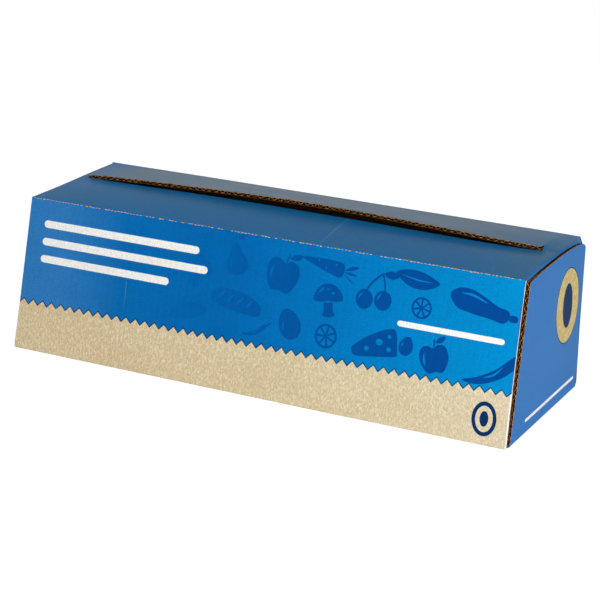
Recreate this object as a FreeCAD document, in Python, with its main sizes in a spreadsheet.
import FreeCAD, Part
import math
import os
import Sketcher

# Driving dimensions in millimetres: name, size, meaning
DRIVING = (
    ("foil_width", 450, "width of the foil web, along X"),
    ("core_diameter", 82, "outside of the cardboard core"),
    ("core_wall", 3, "wall of the core"),
    ("core_overhang", 2, "core beyond the foil at each end"),
    ("winding_clearance", 0.15, "between the core and the innermost turn"),
    ("winding_depth", 11.35, "all the turns of foil, one on another"),
    ("resting_clearance", 0.2, "between the lowest turn and the carton's floor"),
    ("end_clearance", 1.5, "between the core and each inner end flap"),
    ("headroom", 17.8, "above the roll, under the top's long creases"),
    ("depth_room", 45, "free depth in front of and behind the roll, together"),
    ("roll_offset", 3, "axis of the roll behind the middle of the base"),
    ("front_setback", 33.5, "lean of the front panel over its height"),
    ("back_lean", 4.5, "lean of the back panel over its height"),
    ("top_crown", 2, "rise of the top between its long creases"),
    ("board", 3, "thickness of the corrugated board"),
    ("liner", 0.35, "thickness of each facing paper"),
    ("fluting", 0.3, "thickness of the wavy paper between the facings"),
    ("flute_pitch", 6.4, "from crest to crest of the wavy paper"),
    ("flute_reach", 5, "depth of the open flutes behind a cut edge"),
    ("fold_radius", 3.5, "outside of the long folds and of the outer flaps' folds"),
    ("end_fold_radius", 5, "outside of the folds at the top's two ends"),
    ("inner_flap_length", 95, "drop of the flaps folded in from the top"),
    ("inner_flap_clearance", 1, "between an inner flap's sides and the walls"),
    ("inner_flap_bite", 2.4, "inner flap's root into the thickness of the top"),
    ("outer_flap_gap", 0.5, "between an outer flap and the tube's end"),
    ("outer_flap_drop", 1.3, "from the top's surface down to an outer flap's edge"),
    ("outer_front_inset", 5, "outer flap behind the front panel's foot"),
    ("outer_front_inset_top", 0.5, "outer flap behind the front panel's head"),
    ("outer_back_inset", 11, "outer flap short of the back panel's foot"),
    ("outer_back_inset_top", 8, "outer flap short of the back panel's head"),
    ("glue_lap_width", 30, "height of the glued lap inside the back panel"),
    ("glue_lap_inset", 8, "end of the glued lap from the tube's end"),
    ("slit_margin_left", 10, "slit from the tube's left end"),
    ("slit_margin_right", 17, "slit from the tube's right end"),
    ("slit_setback", 72, "slit behind the front crease of the top"),
    ("slit_gap", 1, "width of the slit"),
    ("slit_blend", 4.5, "length in which the lip's lift runs out past the slit"),
    ("lip_lift", 7.7, "rise of the lip at the slit's middle"),
    ("lip_end_lift", 3.8, "rise of the lip at the slit's ends"),
    ("lip_root_inset", 4, "root of the lip from the back crease of the top"),
)

# Two places nearer than this, in millimetres, count as one
TOUCHING = 0.01
# A cut that takes less than this, in cubic millimetres, has missed
LEAST_CUT = 1

os.makedirs("parts", exist_ok=True)
doc = FreeCAD.newDocument("foil_roll_in_carton")
sheet = doc.addObject("Spreadsheet::Sheet", "dims")


class Size:
    """A length with the formula that ties it to the sheet."""

    def __init__(self, text, number):
        self.text = text
        self.number = number

    def joined(self, sign, other, number):
        return Size("(%s %s %s)" % (self.text, sign, as_size(other).text), number)

    def __add__(self, other):
        return self.joined("+", other, self.number + as_size(other).number)

    def __sub__(self, other):
        return self.joined("-", other, self.number - as_size(other).number)

    def __mul__(self, other):
        return self.joined("*", other, self.number * as_size(other).number)

    def __truediv__(self, other):
        return self.joined("/", other, self.number / as_size(other).number)

    def __neg__(self):
        return as_size(0) - self


def as_size(value):
    if isinstance(value, Size):
        return value
    return Size(repr(float(value)), float(value))


def root(size):
    return Size("sqrt(%s)" % size.text, math.sqrt(size.number))


def fill_sheet():
    sizes = {}
    for row, (name, number, meaning) in enumerate(DRIVING, start=1):
        sheet.set("A%d" % row, name)
        sheet.set("B%d" % row, str(number))
        sheet.setAlias("B%d" % row, name)
        sheet.set("C%d" % row, meaning)
        sizes[name] = Size("dims.%s" % name, float(number))
    doc.recompute()
    return sizes


size = fill_sheet()

# The tube that the four long panels make
board = size["board"]
winding_bore = size["core_diameter"] / 2 + size["winding_clearance"]
roll_radius = winding_bore + size["winding_depth"]
core_length = size["foil_width"] + size["core_overhang"] * 2
half_tube = core_length / 2 + size["end_clearance"] + board
height = roll_radius * 2 + size["resting_clearance"] + size["headroom"] + board * 2
bottom_depth = roll_radius * 2 + size["depth_room"] + board * 2
front_foot = -bottom_depth / 2
back_foot = bottom_depth / 2
front_head = front_foot + size["front_setback"]
back_head = back_foot + size["back_lean"]
top_depth = back_head - front_head
top_middle = (front_head + back_head) / 2

# The shallow arch of the top, an arc about an axis along X
crown_radius = (top_depth * top_depth / 4 + size["top_crown"] * size["top_crown"]) / (size["top_crown"] * 2)
crown_axis = height + size["top_crown"] - crown_radius

# The slit and the lip behind it
slit_left = -half_tube + size["slit_margin_left"]
slit_right = half_tube - size["slit_margin_right"]
slit_middle = (slit_left + slit_right) / 2
slit_line = front_head + size["slit_setback"]
lip_root = back_head - size["lip_root_inset"]


def top_surface(across):
    """Height of the top panel's outer face at a place from front to back."""
    off_middle = across - top_middle
    return crown_axis + root(crown_radius * crown_radius - off_middle * off_middle)


def level_thickness(lean):
    """Board thickness measured level through a leaning panel."""
    return board * root(height * height + lean * lean) / height


def front_inner(up):
    return front_foot + size["front_setback"] * up / height + level_thickness(size["front_setback"])


def back_inner(up):
    return back_foot + size["back_lean"] * up / height - level_thickness(size["back_lean"])


def origin_plane(body, role):
    for feature in body.Origin.OriginFeatures:
        if feature.Role == role:
            return feature
    raise ValueError(role)


def new_sketch(body, name, role, shift=(0, 0, 0)):
    """An empty sketch on one of the body's own planes, moved in that plane's frame."""
    sketch = body.newObject("Sketcher::SketchObject", name)
    sketch.AttachmentSupport = (origin_plane(body, role), [""])
    sketch.MapMode = "FlatFace"
    for axis, amount in zip("xyz", shift):
        sketch.setExpression("AttachmentOffset.Base.%s" % axis, as_size(amount).text)
    return sketch


def bind_last(sketch, amount):
    sketch.setExpression("Constraints[%d]" % (sketch.ConstraintCount - 1), amount.text)


def place_point(sketch, edge, end, across, up):
    """Hold one end of an edge at a place measured from the sketch's origin."""
    sketch.addConstraint(Sketcher.Constraint("DistanceX", -1, 1, edge, end, across.number))
    bind_last(sketch, across)
    sketch.addConstraint(Sketcher.Constraint("DistanceY", -1, 1, edge, end, up.number))
    bind_last(sketch, up)


def closed_outline(sketch, corners, arcs=None):
    """Edges from corner to corner; arcs gives an edge's number, a point on it and its radius."""
    arcs = arcs or {}
    points = [FreeCAD.Vector(across.number, up.number, 0) for across, up in corners]
    for edge, start in enumerate(points):
        end = points[(edge + 1) % len(points)]
        if edge not in arcs:
            sketch.addGeometry(Part.LineSegment(start, end), False)
            continue
        through = FreeCAD.Vector(arcs[edge][0].number, arcs[edge][1].number, 0)
        sketch.addGeometry(Part.Arc(start, through, end), False)
    first = [edge_start(sketch, edge, point) for edge, point in enumerate(points)]
    last = [3 - end for end in first]
    for edge in range(len(points)):
        after = (edge + 1) % len(points)
        sketch.addConstraint(Sketcher.Constraint("Coincident", edge, last[edge], after, first[after]))
    for edge, (across, up) in enumerate(corners):
        place_point(sketch, edge, first[edge], across, up)
    for edge, (_, _, radius) in arcs.items():
        sketch.addConstraint(Sketcher.Constraint("Radius", edge, radius.number))
        bind_last(sketch, radius)


def edge_start(sketch, edge, point):
    """Which end of an edge, 1 or 2, lies at its starting corner."""
    near_first = sketch.getPoint(edge, 1).distanceToPoint(point)
    near_second = sketch.getPoint(edge, 2).distanceToPoint(point)
    return 1 if near_first <= near_second else 2


def circle(sketch, radius):
    edge = sketch.addGeometry(Part.Circle(FreeCAD.Vector(), FreeCAD.Vector(0, 0, 1), radius.number), False)
    sketch.addConstraint(Sketcher.Constraint("Coincident", edge, 3, -1, 1))
    sketch.addConstraint(Sketcher.Constraint("Radius", edge, radius.number))
    bind_last(sketch, radius)


def extruded(body, kind, name, sketch, length, both_ways=False):
    """A Pad or a Pocket whose length follows the sheet."""
    feature = body.newObject("PartDesign::" + kind, name)
    feature.Profile = sketch
    feature.Length = length.number
    feature.setExpression("Length", length.text)
    if both_ways:
        feature.Midplane = True
    doc.recompute()
    return feature


def names_of(elements, kind, wanted):
    return ["%s%d" % (kind, number) for number, item in enumerate(elements, start=1) if wanted(item)]


def add_tube(body):
    """The four long panels as one ring of board with rounded folds."""
    sketch = new_sketch(body, "tube_outline", "YZ_Plane")
    corners = [(front_foot, as_size(0)), (back_foot, as_size(0)), (back_head, height), (front_head, height)]
    crown = (top_middle, height + size["top_crown"], crown_radius)
    closed_outline(sketch, corners, {2: crown})
    block = extruded(body, "Pad", "tube_block", sketch, half_tube * 2, both_ways=True)

    folds = body.newObject("PartDesign::Fillet", "long_folds")
    nearly_full = half_tube.number * 2 - TOUCHING
    folds.Base = (block, names_of(block.Shape.Edges, "Edge", lambda edge: edge.BoundBox.XLength > nearly_full))
    folds.setExpression("Radius", size["fold_radius"].text)
    doc.recompute()

    walls = body.newObject("PartDesign::Thickness", "board_walls")
    ends = names_of(folds.Shape.Faces, "Face", lambda face: face.BoundBox.XLength < TOUCHING)
    walls.Base = (folds, ends)
    walls.Reversed = True
    walls.setExpression("Value", board.text)
    doc.recompute()


def add_glue_lap(body):
    """The lap that closes the tube, glued inside the foot of the back panel."""
    foot = board
    head = board + size["glue_lap_width"]
    bite = board / 2
    corners = [
        (back_inner(foot) - board, foot - bite),
        (back_inner(foot) + bite, foot - bite),
        (back_inner(head) + bite, head),
        (back_inner(head) - board, head),
    ]
    sketch = new_sketch(body, "glue_lap_outline", "YZ_Plane")
    closed_outline(sketch, corners)
    extruded(body, "Pad", "glue_lap", sketch, (half_tube - size["glue_lap_inset"]) * 2, both_ways=True)


def add_inner_flap(body, side, name):
    """The flap folded down from the top's end, inside the tube's mouth."""
    low = height - size["inner_flap_length"]
    high = height - board + size["inner_flap_bite"]
    clearance = size["inner_flap_clearance"]
    corners = [
        (front_inner(low) + clearance, low),
        (back_inner(low) - clearance, low),
        (back_inner(high) - clearance, high),
        (front_inner(high) + clearance, high),
    ]
    start = half_tube - board if side > 0 else -half_tube
    sketch = new_sketch(body, name + "_outline", "YZ_Plane", (0, 0, start))
    closed_outline(sketch, corners)
    extruded(body, "Pad", name, sketch, board)


def add_end_fold(body, side, name):
    """The rounded fold between the top and an inner flap, turned about the arch's axis."""
    radius = size["end_fold_radius"]
    spare = radius / 2
    crest = height + size["top_crown"] - crown_axis
    edge = half_tube * side
    bend = edge - radius * side
    corners = [
        (bend, crest),
        (edge, crest - radius),
        (edge + spare * side, crest - radius),
        (edge + spare * side, crest + spare),
        (bend, crest + spare),
    ]
    diagonal = radius * (1 - math.sqrt(0.5))
    through = (edge - diagonal * side, crest - diagonal, radius)
    sketch = new_sketch(body, name + "_outline", "XZ_Plane", (0, crown_axis, -top_middle))
    closed_outline(sketch, corners, {0: through})
    before = body.Tip.Shape.Volume
    groove = body.newObject("PartDesign::Groove", name)
    groove.Profile = sketch
    groove.ReferenceAxis = (sketch, ["H_Axis"])
    groove.Midplane = True
    width = top_depth - board * 2
    sweep = Size("2 * asin(%s)" % (width / crown_radius / 2).text, 0)
    groove.setExpression("Angle", sweep.text)
    doc.recompute()
    if groove.Shape.Volume >= before - LEAST_CUT:
        raise ValueError(name + " removed nothing")


def add_outer_flap(body, side, name):
    """The flap folded up from the base over the tube's end."""
    start = half_tube + size["outer_flap_gap"]
    outer = start + board
    front_top = front_head + size["outer_front_inset_top"]
    back_top = back_head - size["outer_back_inset_top"]
    front_low = front_foot + size["outer_front_inset"]
    back_low = back_foot - size["outer_back_inset"]
    drop = size["outer_flap_drop"]
    shoulder = size["fold_radius"] + board / 2
    corners = [
        (front_low, as_size(0)),
        (back_low, as_size(0)),
        (back_low, shoulder),
        (back_top, top_surface(back_top) - drop),
        (front_top, top_surface(front_top) - drop),
        (front_low, shoulder),
    ]
    middle = (front_top + back_top) / 2
    sketch = new_sketch(body, name + "_outline", "YZ_Plane", (0, 0, start if side > 0 else -outer))
    closed_outline(sketch, corners, {3: (middle, top_surface(middle) - drop, crown_radius)})
    extruded(body, "Pad", name, sketch, board)

    hinge = new_sketch(body, name + "_hinge_outline", "XY_Plane")
    inside = (half_tube - board) * side
    strip = [(inside, front_low), (outer * side, front_low), (outer * side, back_low), (inside, back_low)]
    closed_outline(hinge, strip)
    flap = extruded(body, "Pad", name + "_hinge", hinge, board)

    fold = body.newObject("PartDesign::Fillet", name + "_fold")
    outer_face = outer.number * side

    def is_foot(edge):
        box = edge.BoundBox
        on_face = abs(box.Center.x - outer_face) < TOUCHING
        return on_face and box.ZMax < TOUCHING and box.XLength < TOUCHING

    fold.Base = (flap, names_of(flap.Shape.Edges, "Edge", is_foot))
    fold.setExpression("Radius", size["fold_radius"].text)
    doc.recompute()


def cut_slit(body):
    """The slit, with room behind it for the lifted lip."""
    blend = size["slit_blend"]
    front = slit_line - size["slit_gap"]
    corners = [
        (slit_left - blend, slit_line),
        (slit_left, slit_line),
        (slit_left, front),
        (slit_right, front),
        (slit_right, slit_line),
        (slit_right + blend, slit_line),
        (slit_right + blend, lip_root),
        (slit_left - blend, lip_root),
    ]
    sketch = new_sketch(body, "slit_outline", "XY_Plane", (0, 0, height - board * 2))
    closed_outline(sketch, corners)
    before = body.Tip.Shape.Volume
    pocket = extruded(body, "Pocket", "slit", sketch, board * 4)
    if pocket.Shape.Volume >= before - LEAST_CUT:
        pocket.Reversed = True
        doc.recompute()


def lip_section(body, name, along, lift):
    """The lip's section from front to back at one place along the slit."""
    front_top = top_surface(slit_line) + lift
    back_top = top_surface(lip_root)
    corners = [
        (slit_line, front_top - board),
        (lip_root, back_top - board),
        (lip_root, back_top),
        (slit_line, front_top),
    ]
    sketch = new_sketch(body, name, "YZ_Plane", (0, 0, along))
    closed_outline(sketch, corners)
    return sketch


def lofted(body, name, sections):
    loft = body.newObject("PartDesign::AdditiveLoft", name)
    loft.Profile = sections[0]
    loft.Sections = sections[1:]
    loft.Ruled = len(sections) == 2
    doc.recompute()


def add_lip(body):
    """The strip of top behind the slit, bowed up along its front edge."""
    end_lift = size["lip_end_lift"]
    quarter_lift = (end_lift + size["lip_lift"]) / 2
    flat = as_size(0)
    places = [
        ("lip_at_left_end", slit_left, end_lift),
        ("lip_at_left_quarter", (slit_left + slit_middle) / 2, quarter_lift),
        ("lip_at_middle", slit_middle, size["lip_lift"]),
        ("lip_at_right_quarter", (slit_right + slit_middle) / 2, quarter_lift),
        ("lip_at_right_end", slit_right, end_lift),
    ]
    lofted(body, "lip", [lip_section(body, *place) for place in places])
    blend = size["slit_blend"]
    for name, inside, outside in (
        ("lip_run_out_left", slit_left, slit_left - blend),
        ("lip_run_out_right", slit_right, slit_right + blend),
    ):
        start = lip_section(body, name + "_start", inside, end_lift)
        finish = lip_section(body, name + "_finish", outside, flat)
        lofted(body, name, [start, finish])


def lift_at(along):
    """Rise of the lip along the slit, as the sections above set it."""
    reach = (slit_right.number - slit_left.number) / 2
    share = (1 + math.cos(math.pi * (along - slit_middle.number) / reach)) / 2
    end_lift = size["lip_end_lift"].number
    return end_lift + (size["lip_lift"].number - end_lift) * share


def flute_triangle(base, apex_shift, half_width, sideways, depth_step):
    """One open flute behind a cut edge: a triangular prism."""
    corners = [base - sideways * half_width, base + sideways * half_width, base + apex_shift]
    wire = Part.makePolygon(corners + corners[:1])
    return Part.Face(wire).extrude(depth_step)


def flute_shape():
    """Half width and height of the triangles between the wavy paper and a facing."""
    rise = board.number - 2 * size["liner"].number
    half_pitch = size["flute_pitch"].number / 2
    slope = math.atan2(rise, half_pitch)
    half_width = half_pitch - size["fluting"].number / math.sin(slope) / 2
    return half_width, half_width * math.tan(slope)


def lip_flutes():
    """Open flutes all along the lip's cut edge, above and below the wavy paper."""
    half_width, tall = flute_shape()
    pitch = size["flute_pitch"].number
    count = int((slit_right.number - slit_left.number) / pitch) - 1
    crest = top_surface(slit_line).number
    back = top_surface(lip_root).number
    run = lip_root.number - slit_line.number
    spare = size["slit_gap"].number / 2
    liner = size["liner"].number
    sideways = FreeCAD.Vector(1, 0, 0)
    prisms = []
    for number in range(count * 2):
        along = slit_middle.number + (number - count + 0.5) * pitch / 2
        top = crest + lift_at(along)
        inward = FreeCAD.Vector(0, run, back - top).normalize()
        up = FreeCAD.Vector(0, 0, 1)
        low = number % 2
        level = top - board.number + liner if low else top - liner
        base = FreeCAD.Vector(along, slit_line.number, level) - inward * spare
        apex = up * (tall if low else -tall)
        reach = inward * (spare + size["flute_reach"].number)
        prisms.append(flute_triangle(base, apex, half_width, sideways, reach))
    return prisms


def outer_flap_flutes(side):
    """Open flutes up the front and back cut edges of an outer flap."""
    half_width, tall = flute_shape()
    pitch = size["flute_pitch"].number
    low_end = board.number + pitch / 2
    count = int((height.number - size["outer_flap_drop"].number - low_end) / pitch * 2) - 1
    inner_face = (half_tube + size["outer_flap_gap"]).number
    liner = size["liner"].number
    upward = FreeCAD.Vector(0, 0, 1)
    outward = FreeCAD.Vector(side, 0, 0)
    reach = size["flute_reach"].number
    prisms = []
    for number in range(count):
        up = low_end + number * pitch / 2
        share = up / height.number
        front = front_foot + size["outer_front_inset"]
        front = front.number + share * (front_head + size["outer_front_inset_top"] - front).number
        back = back_foot - size["outer_back_inset"]
        back = back.number + share * (back_head - size["outer_back_inset_top"] - back).number
        near = number % 2
        depth = inner_face + (liner if near else board.number - liner)
        apex = outward * (tall if near else -tall)
        for edge, inward in ((front, 1), (back, -1)):
            base = FreeCAD.Vector(side * depth, edge - inward * pitch, up)
            step = FreeCAD.Vector(0, inward * (pitch + reach), 0)
            prisms.append(flute_triangle(base, apex, half_width, upward, step))
    return prisms


def make_carton():
    """One folded blank: tube, lap, end flaps and lip, with the flutes open at its cut edges."""
    body = doc.addObject("PartDesign::Body", "carton_blank")
    add_tube(body)
    add_glue_lap(body)
    for side, word in ((-1, "left"), (1, "right")):
        add_inner_flap(body, side, word + "_inner_flap")
        add_end_fold(body, side, word + "_end_fold")
        add_outer_flap(body, side, word + "_outer_flap")
    cut_slit(body)
    add_lip(body)

    voids = doc.addObject("Part::Feature", "flute_voids")
    voids.Shape = Part.makeCompound(lip_flutes() + outer_flap_flutes(-1) + outer_flap_flutes(1))
    carton = doc.addObject("Part::Cut", "carton")
    carton.Base = body
    carton.Tool = voids
    carton.Label = "carton"
    return carton


def roll_placement(body):
    """Put a body's YZ origin on the roll's axis."""
    body.setExpression("Placement.Base.y", size["roll_offset"].text)
    body.setExpression("Placement.Base.z", (board + size["resting_clearance"] + roll_radius).text)


def make_sleeve(name, outside, inside, length):
    """A ring of the given radii along X, on the roll's axis."""
    body = doc.addObject("PartDesign::Body", name)
    body.Label = name
    sketch = new_sketch(body, name + "_section", "YZ_Plane")
    circle(sketch, outside)
    circle(sketch, inside)
    extruded(body, "Pad", name + "_length", sketch, length, both_ways=True)
    roll_placement(body)
    return body


def make_foil_roll():
    return make_sleeve("foil_roll", roll_radius, winding_bore, size["foil_width"])


def make_core():
    outside = size["core_diameter"] / 2
    return make_sleeve("core", outside, outside - size["core_wall"], core_length)


def check_document(pieces):
    """Stop on any feature that failed and on any piece that isn't one sound solid."""
    for item in doc.Objects:
        if "Invalid" in item.State or "Error" in item.State:
            raise ValueError("%s failed: %s" % (item.Name, item.State))
    for piece in pieces:
        if piece.Shape.isNull() or not piece.Shape.isValid():
            raise ValueError(piece.Label + " is not a sound shape")
        if len(piece.Shape.Solids) != 1:
            raise ValueError("%s has %d solids" % (piece.Label, len(piece.Shape.Solids)))


pieces = [make_carton(), make_foil_roll(), make_core()]
doc.recompute()
check_document(pieces)
for piece in pieces:
    piece.Shape.exportStep("parts/%s.step" % piece.Label)
    box = piece.Shape.BoundBox
    print("%-10s volume %.1f cm3, X %.2f..%.2f, Y %.2f..%.2f, Z %.2f..%.2f" % (
        piece.Label, piece.Shape.Volume / 1000,
        box.XMin, box.XMax, box.YMin, box.YMax, box.ZMin, box.ZMax))
